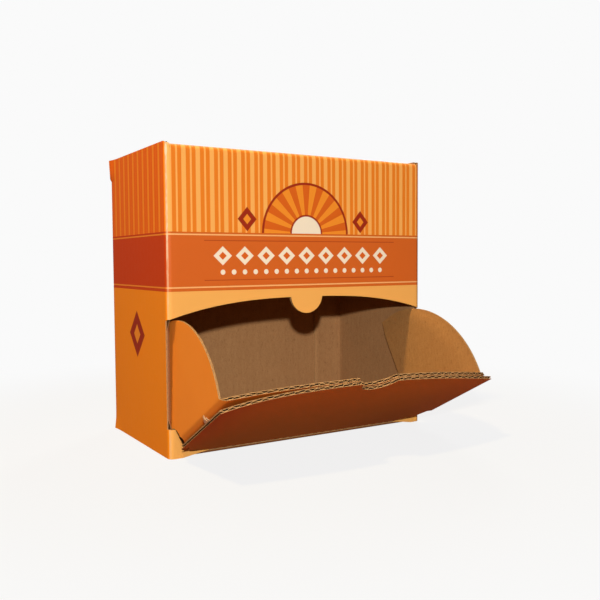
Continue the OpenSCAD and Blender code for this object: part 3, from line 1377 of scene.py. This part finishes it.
    def _edge_thickness(self, along: Array, level: Array) -> Array:
        """Thickness of the side walls, squeezed to a straight bevel along their free front edges.

        Args:
            along: Distances along the path.
            level: Heights.

        Returns:
            The thickness at each place.
        """
        from_edge = np.minimum(np.abs(along - self.left_edge), np.abs(along - self.right_edge))
        free = np.clip((level - self.cut.corner_h) / self.edge_fade, 0, 1)
        free = free * np.clip((self.cut.spring_z - level) / self.edge_fade, 0, 1)
        return BOARD.thick - self.edge_press * free * np.clip(1 - from_edge / self.edge_bevel, 0, 1)

    def _front_thickness(self, along: Array, level: Array) -> Array:
        """Thickness of the front, crushed along the arch but not at its ends.

        Args:
            along: Distances along the path.
            level: Heights, with the arch in the first row.

        Returns:
            The thickness at each place.
        """
        inset = self.half_w - np.abs(self.path.at(along)[0][..., 0])
        ends = np.clip((inset - self.arch_end) / self.arch_fade, 0, 1)
        return BOARD.crushed(level - level[:, :1], BOARD.crush * ends)

    def _front_columns(self, step: float, folds: Array) -> Array:
        """Columns of the front, closer together at the thumb tab.

        Args:
            step: Largest spacing.
            folds: Places of the folds and bevels.

        Returns:
            The distances.
        """
        lid_ends = self.lid_half_w + np.array([0.0, self.lid_end_step])
        extra = np.concatenate([folds, self.front_mid + self.cut.notch_samples(0.0),
                                self.front_mid + lid_ends, self.front_mid - lid_ends])
        return samples(self.left_edge, self.right_edge, min(step, BOARD.fine_step), extra)

    def _wall_limits(self, columns: Array) -> tuple[Array, Array]:
        """The back and the sides run over the whole height."""
        return np.zeros_like(columns), np.full_like(columns, self.high)

    def _front_limits(self, columns: Array) -> tuple[Array, Array]:
        """The front runs from the arch and its tab up to the lid's crease, and rises past the lid's ends.

        Args:
            columns: Distances along the path.

        Returns:
            The lower and upper heights.
        """
        x = self.path.at(columns)[0][:, 0]
        low = np.where(np.abs(x) < self.half_w - self.fold_slack, self.cut.rim(x, 0.0), self.cut.spring_z)
        low[[0, -1]] = self.cut.spring_z
        past = np.abs(columns - self.front_mid) - self.lid_half_w
        end = self.front_mid - self.left_edge - self.lid_half_w
        crest = self.high - self.lid_drop + self.lid_drop * np.clip(past / end, 0, 1)
        return low, np.where(past > self.lid_end_slack, crest, self.fold_z)

    def _corner_limits(self, columns: Array) -> tuple[Array, Array]:
        """A corner piece runs from its foot up to its flat top, its slanted cut and its tail."""
        x = self.path.at(columns)[0][:, 0]
        return self.cut.tail_foot(x), self.cut.corner(x)

    def _flap_limits(self, columns: Array) -> tuple[Array, Array]:
        """The seam flap narrows towards its free edge by its slant."""
        slope = (columns - columns[0]) * math.tan(self.flap_slant)
        return self.flap_foot + slope, self.high - self.flap_end - slope

    def bulge(self, points: Array) -> Array:
        """Push the rear left fold out at the tucked flaps, and bow the panels a little.

        The push is a bell at the fold that ends in a step below the top and in a ramp above the
        bottom; the bow is a product of two half sine waves over each panel.

        Args:
            points: Points of the walls.

        Returns:
            The moved points.
        """
        x, y, z = points.T
        from_fold = ((x + self.half_w) / self.bulge_wide) ** 2 + ((y - self.half_d) / self.bulge_deep) ** 2
        below = self.high - z
        step = np.clip(1 - (below - self.bulge_h) / self.bulge_run, 0, 1)
        top = step * (self.bulge_top - self.bulge_loss * np.clip(below / self.bulge_h, 0, 1))
        foot = self.bulge_foot * np.clip(1 - z / self.bulge_foot_h, 0, 1) ** 2
        push = np.exp(-from_fold) * (top + foot)
        bow = np.sin(math.pi * np.clip(z / self.high, 0, 1))
        span = np.cos(math.pi * np.clip(x / (2 * self.half_w), -0.5, 0.5))
        front = np.clip(1 - (y + self.half_d) / self.bow_skin, 0, 1)
        back = np.clip(1 - (self.half_d - y) / self.bow_skin, 0, 1)
        moved = points.copy()
        moved[:, 0] -= push
        moved[:, 1] += push * self.bulge_back
        moved[:, 1] += bow * span * (self.bow_back * back - self.bow_front * front)
        return moved

    def build(self, finishes: Finishes) -> None:
        """Make the three sheets of the walls.

        Args:
            finishes: The finishes.
        """
        for side in Side:
            obj = sheet_object(f"carton_walls_{side.value}", self.patches(side), BOARD.sheet_thickness(side),
                               finishes.of(side), self.bulge)
            ridden(obj, "carton", "carton_body", "carton_board")


@dataclass
class FoldedPanel:
    """A panel carried across the width along a side-view profile, such as the lid or the bottom."""

    name: str
    body: str
    node: str
    slot: str
    path: Path
    half_w: float
    print_z: float
    print_way: float
    trim: float
    trim_run: float
    crease_press: float = 0.0
    row_slack: float = 0.001 * MM

    def place(self, along: Array, level: Array) -> Laid:
        """Lay the printed face: the profile at each level, at each place across.

        Args:
            along: Places across.
            level: Distances along the profile.

        Returns:
            Points, outward normals and tangents across the flutes.
        """
        point, normal = self.path.at(level)
        flat = np.zeros_like(along)
        spot = np.stack([along, point[..., 0], point[..., 1]], -1)
        out = np.stack([flat, normal[..., 0], normal[..., 1]], -1)
        way = np.stack([flat + 1, flat, flat], -1)
        return spot, out, way

    def uv(self, along: Array, level: Array) -> Array:
        """Print coordinates: place across, and the height on the flat sheet."""
        return np.stack([along, self.print_z + self.print_way * level], -1)

    def patch(self, side: Side) -> Patch:
        """Lay one sheet, whose last flap narrows in a straight line by the trim at both ends.

        Args:
            side: The sheet.

        Returns:
            The patch.
        """
        columns = samples(-self.half_w, self.half_w, BOARD.column_step(side, BOARD.liner_step))
        rows = samples(0.0, self.path.length, BOARD.row_step, self.path.marks)
        inset = np.clip((np.abs(columns) - self.half_w + self.trim) / self.trim, 0, 1)
        high = (self.path.length - inset * self.trim_run)[:, None]
        along = np.repeat(columns[:, None], len(rows), 1)
        level = np.minimum(rows[None, :], high)
        level[:, -1:] = high
        level = np.maximum.accumulate(level + np.arange(len(rows))[None, :] * self.row_slack, 1)
        thick = BOARD.crushed(level, self.crease_press)
        return grid_patch(along, level, side, self.place, self.uv, thick)

    def build(self, finishes: Finishes) -> None:
        """Make the three sheets of the panel.

        Args:
            finishes: The finishes.
        """
        for side in Side:
            obj = sheet_object(f"{self.name}_{side.value}", [self.patch(side)], BOARD.sheet_thickness(side),
                               finishes.of(side), still)
            ridden(obj, self.body, self.node, self.slot)


@dataclass(frozen=True)
class Lid:
    """The top panel on the front's upper crease, with a tuck flap inside the back wall."""

    crease_in: float = 0.2 * MM
    rear_gap: float = 0.4 * MM
    tuck_h: float = 16.0 * MM
    tuck_slant: float = math.radians(4)
    trim: float = 10.0 * MM
    trim_run: float = 9.0 * MM

    def build(self, walls: CartonWalls, finishes: Finishes) -> None:
        """Make the lid along its profile: up the crease, back over the top and down the tuck flap.

        Args:
            walls: The walls that it closes.
            finishes: The finishes.
        """
        front = self.crease_in - walls.half_d
        rear = walls.half_d - BOARD.thick - self.rear_gap
        top = walls.high - walls.lid_drop
        tip = (rear - self.tuck_h * math.tan(self.tuck_slant), top - self.tuck_h)
        path = Path([(front, walls.fold_z), (front, top), (rear, top), tip], BOARD.crease_r, clockwise=True)
        FoldedPanel("lid", "lid", "lid", "lid_board", path, walls.nested_half_w, print_z=walls.fold_z,
                    print_way=1.0, trim=self.trim, trim_run=self.trim_run).build(finishes)


@dataclass(frozen=True)
class Bottom:
    """The bottom panel from the front's lower crease, with a flap glued inside the back wall."""

    crease_drop: float = 0.5 * MM
    crease_run: float = 4.0 * MM
    glue: float = 0.15 * MM
    flap_h: float = 10.0 * MM
    trim: float = 1.5 * MM
    trim_run: float = 6.0 * MM
    press: float = 1.7 * MM

    def build(self, walls: CartonWalls, finishes: Finishes) -> None:
        """Make the bottom along its profile: down the crease, back along the floor and up the flap.

        Args:
            walls: The walls that it closes.
            finishes: The finishes.
        """
        front = -walls.half_d
        rear = walls.half_d - BOARD.thick - self.glue
        path = Path([(front, BOARD.thick - self.crease_drop), (front + self.crease_run, 0.0),
                     (rear, 0.0), (rear, self.flap_h)], BOARD.crease_r)
        FoldedPanel("bottom", "carton", "carton_body", "carton_board", path, walls.nested_half_w,
                    print_z=BOARD.thick, print_way=-1.0, trim=self.trim, trim_run=self.trim_run,
                    crease_press=self.press).build(finishes)


@dataclass(frozen=True)
class Layer:
    """One layer of the drop front: the solid it replaces, its outline, and how it lies."""

    node: str
    slot: str
    start: float
    stop: float
    marks: Array
    limits: Limits
    crush: Callable[[Array], Array]
    place: Place
    uv: PrintMap
    shape: Shape
    inner: bpy.types.Material


@dataclass
class DropFront:
    """The lip cut from the front and the scoop insert behind it, on the lip's crease.

    A torn strip is given by its height on the lip's edge, its length, its width and its curl.
    """

    cut: FrontCut
    walls: CartonWalls
    open_angle: float
    hinge: Vector
    kerf: float = 0.5 * MM
    crease_gap: float = 0.2 * MM
    layer_gap: float = 0.3 * MM
    rim_step: float = 0.8 * MM
    rows: int = 13
    row_power: float = 1.6
    wing_gap: float = 0.3 * MM
    wing_back: float = 11.8 * MM
    wing_up: float = 11.2 * MM
    wing_arch_gap: float = 0.5 * MM
    wing_tail_gap: float = 0.3 * MM
    wing_lean: float = math.radians(2.2)
    wing_crush: float = 1.7 * MM
    wing_from: float = 0.9
    wing_fade: float = 0.05
    wing_end_turn: float = math.pi / 8
    wing_end_count: int = 12
    floor_gap: float = 1.0 * MM
    corner_gap: float = 0.4 * MM
    left_end_h: float = 13.4 * MM
    droop: float = 3.9 * MM
    droop_power: float = 10.0
    taper: float = 4.4 * MM
    taper_from: float = 70.0 * MM
    twist: float = math.radians(1.9)
    rim_press: float = 0.9 * MM
    press_power: float = 6.0
    press_from: float = -80.0 * MM
    press_run: float = 50.0 * MM
    press_fade: float = 15.0 * MM
    torn_root: float = 0.8 * MM
    torn_back: float = 1.6 * MM
    torn_rise: float = 0.3
    torn_taper: float = 0.5
    torn_grid: tuple[int, int] = (7, 3)
    torn_strips: tuple[tuple[float, float, float, float], ...] = (
        (61.2 * MM, 4.2 * MM, 2.6 * MM, 1.9 * MM),
        (63.8 * MM, 5.6 * MM, 2.6 * MM, 3.2 * MM),
        (66.2 * MM, 3.8 * MM, 2.2 * MM, 3.0 * MM),
    )
    wing_x: float = field(init=False)
    behind: float = field(init=False)
    reach: float = field(init=False)
    wing_r: float = field(init=False)
    relief: float = field(init=False)
    path: Path = field(init=False)
    mid: float = field(init=False)

    def __post_init__(self) -> None:
        """Lay out the insert's strip: left wing, panel and right wing."""
        self.wing_x = self.walls.half_w - BOARD.thick - self.wing_gap
        self.behind = BOARD.thick + self.layer_gap
        self.reach = float(self.cut.arch(np.array(self.wing_x))) - self.cut.crease_z - self.wing_arch_gap
        self.wing_r = self.reach - math.hypot(self.wing_back, self.wing_up)
        self.relief = math.hypot(BOARD.thick, self.cut.corner_h - self.cut.crease_z) + self.corner_gap
        tail = self.wing_back + self.wing_r - self.wing_tail_gap
        self.path = Path([(-self.wing_x, tail), (-self.wing_x, self.behind),
                          (self.wing_x, self.behind), (self.wing_x, tail)], self.walls.fold_r)
        self.mid = self.path.length / 2

    def opened(self, points: Array) -> Array:
        """Turn points from the upright lip to its open angle, about the crease.

        The right end opens a little further, by a smooth step over the width.

        Args:
            points: Points with x across, y back from the lip's face and z up from the crease.

        Returns:
            The points in the shared frame.
        """
        x, back, up = points.T
        angle = self.open_angle + self.twist * smooth_step(x / self.cut.half_w)
        cos, sin = np.cos(angle), np.sin(angle)
        y = self.hinge.y + back * cos - up * sin
        z = self.hinge.z + back * sin + up * cos
        return np.stack([x, y, z], -1)

    def drooped(self, points: Array) -> Array:
        """Let the lip sag away from the insert towards its left corner and narrow below it, then open it.

        The sag grows with the height and with a power of the distance from the right, and the taper
        with the square of the distance past a place near the left end.

        Args:
            points: Points of the upright lip.

        Returns:
            The points in the shared frame.
        """
        x, _, up = points.T
        left = np.clip((self.cut.half_w - x) / (2 * self.cut.half_w), 0, 1)
        rise = np.clip(up, 0, None) / self.cut.crown_z
        end = np.clip((-x - self.taper_from) / (self.cut.half_w - self.taper_from), 0, 1)
        sag = points.copy()
        sag[:, 0] += self.taper * end ** 2 * np.clip(1 - up / self.reach, 0, 1)
        sag[:, 1] -= self.droop * left ** self.droop_power * rise
        return self.opened(sag)

    def leaned(self, points: Array) -> Array:
        """Lean the wings in and press the rim to the lip away from the left, then open the insert.

        The press grows with a power of the height and fades behind the panel, and the lean grows in a
        straight line behind the fold.

        Args:
            points: Points of the upright insert.

        Returns:
            The points in the shared frame.
        """
        x, back, up = points.T
        past = np.clip(back - self.behind - self.walls.fold_r, 0, None)
        rise = np.clip(up, 0, None) / self.cut.crown_z
        right = np.clip((x - self.press_from) / self.press_run, 0, 1)
        outside = np.clip((np.abs(x) / self.wing_x - self.wing_from) / self.wing_fade, 0, 1)
        lean = points.copy()
        lean[:, 0] -= np.sign(x) * past * math.tan(self.wing_lean) * outside
        lean[:, 1] -= self.rim_press * right * rise ** self.press_power * np.exp(-past / self.press_fade)
        return self.opened(lean)

    def place_lip(self, along: Array, level: Array) -> Laid:
        """Lay the lip's printed face while it is upright: a plane.

        Args:
            along: Places across.
            level: Heights above the crease.

        Returns:
            Points, outward normals and tangents across the flutes.
        """
        flat = np.zeros_like(along)
        spot = np.stack([along, flat, level], -1)
        out = np.stack([flat, flat - 1, flat], -1)
        way = np.stack([flat + 1, flat, flat], -1)
        return spot, out, way

    def place_insert(self, along: Array, level: Array) -> Laid:
        """Lay the insert's printed face while it is upright: its path's plan carried up.

        Args:
            along: Distances along the path.
            level: Heights above the crease.

        Returns:
            Points, outward normals and tangents across the flutes.
        """
        point, normal = self.path.at(along)
        flat = np.zeros_like(along)
        spot = np.stack([point[..., 0], point[..., 1], level], -1)
        out = np.stack([normal[..., 0], normal[..., 1], flat], -1)
        way = np.stack([-normal[..., 1], normal[..., 0], flat], -1)
        return spot, out, way

    def lip_uv(self, along: Array, level: Array) -> Array:
        """Print coordinates of the lip, which was cut from the front."""
        return np.stack([along, level + self.cut.crease_z], -1)

    def insert_uv(self, along: Array, level: Array) -> Array:
        """Print coordinates of the insert, stretched so that its folds fall on the front's folds."""
        stretch = self.walls.half_w / self.wing_x
        return np.stack([(along - self.mid) * stretch, level + self.cut.crease_z], -1)

    def lip_limits(self, x: Array) -> tuple[Array, Array]:
        """The lip runs from its crease and the corner pieces' outline up to its notched rim.

        Args:
            x: Places across.

        Returns:
            The lower and upper heights above the crease.
        """
        corner = self.cut.corner(np.abs(x) + self.kerf)
        blunt = np.where(x < 0, self.left_end_h, self.cut.corner_h)
        low = self.crease_gap + np.minimum(corner - self.cut.crease_z, blunt)
        return low, self.cut.rim(x, self.kerf) - self.cut.crease_z

    def insert_limits(self, along: Array) -> tuple[Array, Array]:
        """The insert's panel is cut like the lip, and an arc, the floor and a relief bound its wings.

        The outline passes from the panel's to the wings' in a straight line over the fold.

        Args:
            along: Distances along the path.

        Returns:
            The lower and upper heights above the crease.
        """
        x, back = self.path.at(along)[0].T
        panel_low = np.maximum(self.crease_gap, self.cut.slant(np.abs(x) + self.kerf) - self.cut.crease_z)
        panel_high = self.cut.rim(x, self.kerf + self.rim_step) - self.cut.crease_z
        arc = self.wing_up + np.sqrt(np.clip(self.wing_r ** 2 - (back - self.wing_back) ** 2, 0, None))
        wing_low = np.maximum(self.floor_gap, np.sqrt(np.clip(self.relief ** 2 - back ** 2, 0, None)))
        bend = self.bend(back)
        return panel_low + (wing_low - panel_low) * bend, panel_high + (arc - panel_high) * bend

    def bend(self, back: Array) -> Array:
        """How far a place is round the insert's fold, from 0 on the panel to 1 on a wing."""
        return np.clip((back - self.behind) / self.walls.fold_r, 0, 1)

    def lip_crush(self, along: Array) -> Array:
        """Loss of thickness at the lip's cut edges."""
        return np.full_like(along, BOARD.crush)

    def insert_crush(self, along: Array) -> Array:
        """Loss of thickness at the insert's cut edges, which is larger on the wings."""
        bend = self.bend(self.path.at(along)[0][:, 1])
        return BOARD.crush + (self.wing_crush - BOARD.crush) * bend

    def place_torn(self, along: Array, level: Array, curl: float) -> Laid:
        """Lay a strip that leaves the lip's left edge and curls back on an arc.

        Args:
            along: Distances from the strip's root.
            level: Heights above the crease.
            curl: Radius of the arc.

        Returns:
            Points, outward normals and tangents along the strip.
        """
        turn = along / curl
        flat = np.zeros_like(along)
        x = self.torn_root - self.cut.half_w - curl * np.sin(turn)
        back = self.torn_back + curl * (1 - np.cos(turn))
        spot = np.stack([x, back, level + self.torn_rise * along], -1)
        out = np.stack([-np.sin(turn), -np.cos(turn), flat], -1)
        way = np.stack([-np.cos(turn), np.sin(turn), flat], -1)
        return spot, out, way

    def torn_patches(self) -> list[Patch]:
        """Lay narrow strips of liner torn loose at the lip's left edge, each tapered to its tip.

        Returns:
            The strips.
        """
        made = []
        long_count, wide_count = self.torn_grid
        for height, long, wide, curl in self.torn_strips:
            run = np.linspace(0, long, long_count)
            spread = np.linspace(-wide / 2, wide / 2, wide_count)
            along, off = np.meshgrid(run, spread, indexing="ij")
            level = height + off * (1 - self.torn_taper * along / long)
            thick = np.full_like(along, BOARD.liner)
            place = partial(self.place_torn, curl=curl)
            made.append(grid_patch(along, level, Side.KRAFT, place, self.lip_uv, thick))
        return made

    def _dress(self, layer: Layer, finishes: Finishes) -> None:
        """Make the three sheets of one layer, with rows closer together at its rim by a power.

        Args:
            layer: The layer.
            finishes: The finishes.
        """
        share = 1 - np.linspace(1, 0, self.rows) ** self.row_power
        for side in Side:
            along = samples(layer.start, layer.stop, BOARD.column_step(side, BOARD.fine_step), layer.marks)
            low, high = layer.limits(along)
            level = low[:, None] + (high - low)[:, None] * share[None, :]
            grid = np.repeat(along[:, None], len(share), 1)
            from_end = np.minimum(along - along[0], along[-1] - along)[:, None]
            from_cut = np.minimum(high[:, None] - level, from_end)
            thick = BOARD.crushed(from_cut, layer.crush(along)[:, None])
            patch = grid_patch(grid, level, side, layer.place, layer.uv, thick)
            obj = sheet_object(f"{layer.node}_{side.value}", [patch], BOARD.sheet_thickness(side),
                               finishes.of(side, finishes.plain, layer.inner), layer.shape)
            ridden(obj, "scoop", layer.node, layer.slot)

    def build(self, finishes: Finishes) -> None:
        """Make the lip, its torn strips and the insert.

        Args:
            finishes: The finishes.
        """
        half, length = self.cut.half_w, self.path.length
        kinks = self.cut.corner_kinks(self.kerf)
        lip_marks = np.concatenate([self.cut.notch_samples(self.kerf), kinks])
        self._dress(Layer("front_lip", "lip_board", -half, half, lip_marks, self.lip_limits, self.lip_crush,
                          self.place_lip, self.lip_uv, self.drooped, finishes.kraft), finishes)
        torn = sheet_object("front_lip_torn", self.torn_patches(), BOARD.sheet_thickness(Side.KRAFT),
                            (finishes.torn,) * 3, self.drooped)
        ridden(torn, "scoop", "front_lip", "lip_board")
        turns = np.linspace(0, self.wing_end_turn, self.wing_end_count)
        ends = length * (0.5 - 0.5 * np.cos(turns))
        notch = self.cut.notch_samples(self.kerf + self.rim_step)
        marks = np.concatenate([self.path.marks, self.mid + notch, self.mid + kinks, ends, length - ends])
        self._dress(Layer("scoop_insert", "insert_board", 0.0, length, marks, self.insert_limits,
                          self.insert_crush, self.place_insert, self.insert_uv, self.leaned,
                          finishes.insert_kraft), finishes)


@dataclass(frozen=True)
class Lamp:
    """A round area lamp that shines along a direction."""

    name: str
    way: Triple
    far: float
    size: float
    watts: float
    tint: Colour = WHITE
    even: bool = False

    def hang(self, target: Vector) -> None:
        """Hang the lamp at its distance from a target, facing it.

        An even lamp keeps its strength over the distance.

        Args:
            target: The point that it shines on.
        """
        data = bpy.data.lights.new(self.name, "AREA")
        data.color = self.tint
        data.shape = "DISK"
        data.size = self.size
        data.energy = self.watts
        if self.even:
            g = Graph(data)
            strength = g.make("ShaderNodeLightFalloff", output="Constant", Strength=1.0)
            g.feed(g.own("EMISSION").inputs["Strength"], strength)
        lamp = bpy.data.objects.new(self.name, data)
        beam = Vector(self.way).normalized()
        lamp.location = target - beam * self.far
        lamp.rotation_mode = "QUATERNION"
        lamp.rotation_quaternion = beam.to_track_quat("-Z", "Y")
        bpy.context.scene.collection.objects.link(lamp)


@dataclass(frozen=True)
class Studio:
    """Camera, lamps, floor and backdrop."""

    eye: Triple = (-269.2 * MM, -481.7 * MM, 124.0 * MM)
    gaze: Triple = (0.5249, 0.8495, -0.0529)
    roll: float = -0.0066
    lens_mm: float = 43.64
    sensor_mm: float = 36.0
    aim: Triple = (0.0, -30.0 * MM, 90.0 * MM)
    lamps: tuple[Lamp, ...] = (
        Lamp("key", (0.4935, 0.8454, -0.2067), far=0.537, size=0.016, watts=7.4, even=True),
        Lamp("over", (0.42, 0.17, -0.9), far=1.0, size=0.09, watts=8.8, tint=(1.0, 0.77, 0.39)),
        Lamp("fill", (-0.66, -0.68, -0.32), far=1.2, size=0.3, watts=9.0),
    )
    world_level: float = 0.12
    paper_white: float = 0.956
    bounce: Colour = (0.152, 0.038, 0.014)
    gloss_share: float = 0.08
    floor_half: float = 6.0
    shadow_share: float = 0.08
    shadow_reach: float = 0.42
    shadow_soft: float = 0.3
    shadow_dim: float = 0.62

    def camera(self) -> None:
        """Set the camera at the viewing angle, with a slight roll."""
        data = bpy.data.cameras.new("camera")
        data.lens = self.lens_mm
        data.sensor_width = self.sensor_mm
        forward = Vector(self.gaze).normalized()
        right = forward.cross(Vector((0, 0, 1))).normalized()
        right = (right + Vector((0, 0, self.roll))).normalized()
        up = right.cross(forward).normalized()
        right = forward.cross(up)
        turn = Matrix((right, up, -forward)).transposed().to_4x4()
        cam = bpy.data.objects.new("camera", data)
        cam.matrix_world = Matrix.Translation(Vector(self.eye)) @ turn
        bpy.context.scene.collection.objects.link(cam)
        bpy.context.scene.camera = cam

    def floor(self) -> None:
        """Lay a pale floor that keeps a faint shadow and is clear from below.

        Seen rays meet the backdrop's white, mixed near the box with a matt floor that holds the
        shadow, and light that falls on the floor comes back in the colour of the bounce.
        """
        half = self.floor_half
        mesh = bpy.data.meshes.new("floor")
        edge = [(-half, -half, 0), (half, -half, 0), (half, half, 0), (-half, half, 0)]
        mesh.from_pydata(edge, [], [(0, 1, 2, 3)])
        floor = bpy.data.objects.new("floor", mesh)
        bpy.context.scene.collection.objects.link(floor)
        g = Graph.material("pale_floor")
        x, y, _ = g.parts(g.object_place())
        off = g.math("SQRT", x * x + y * y)
        fade = self.shadow_reach * self.shadow_soft
        lit = (1 - off.above(self.shadow_reach - fade, fade)) * self.shadow_share
        seen, camera = g.seen(self.gloss_share)
        white = self.paper_white
        glow = g.make("ShaderNodeEmission", Color=WHITE, Strength=white - lit * self.shadow_dim)
        matt = g.make("ShaderNodeBsdfDiffuse", Color=g.mix(seen, self.bounce, (white, white, white)))
        blend = g.make("ShaderNodeMixShader", at_0=seen * (1 - lit), at_1=matt, at_2=glow)
        below = g.make("ShaderNodeNewGeometry", output="Backfacing") * camera
        clear = g.make("ShaderNodeBsdfTransparent")
        blend = g.make("ShaderNodeMixShader", at_0=below, at_1=blend, at_2=clear)
        g.feed(g.own("OUTPUT_MATERIAL").inputs["Surface"], blend)
        mesh.materials.append(g.owner)

    def world(self) -> None:
        """Light the box softly from all sides, with a pale backdrop for the rays that see it."""
        world = bpy.data.worlds.new("studio")
        g = Graph(world)
        seen, _ = g.seen(self.gloss_share)
        white = self.paper_white
        light = g.make("ShaderNodeBackground", Color=WHITE, Strength=self.world_level)
        backdrop = g.make("ShaderNodeBackground", Color=(white, white, white))
        blend = g.make("ShaderNodeMixShader", at_0=seen, at_1=light, at_2=backdrop)
        g.feed(g.own("OUTPUT_WORLD").inputs["Surface"], blend)
        bpy.context.scene.world = world

    def build(self) -> None:
        """Set up the studio round the box."""
        self.camera()
        for lamp in self.lamps:
            lamp.hang(Vector(self.aim))
        self.floor()
        self.world()
        bpy.context.scene.view_settings.view_transform = "Standard"


def joint(name: str) -> dict[str, Any]:
    """The record's entry for a joint."""
    return next(j for j in frame["joints"] if j["name"] == name)


def main() -> None:
    """Build the studio and dress every board."""
    logging.basicConfig(level=logging.INFO, format="%(message)s")
    _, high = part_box("carton_body")
    cut = FrontCut(half_w=high.x)
    walls = CartonWalls(cut=cut, half_w=high.x, half_d=high.y, high=high.z)
    Studio().build()
    finishes = Finishes.mixed(walls)
    walls.build(finishes)
    Lid().build(walls, finishes)
    Bottom().build(walls, finishes)
    hinge = joint("scoop_hinge")
    DropFront(cut=cut, walls=walls, open_angle=math.radians(hinge["range_deg"][1]),
              hinge=Vector(hinge["pos_m"])).build(finishes)


if __name__ == "__main__":
    main()
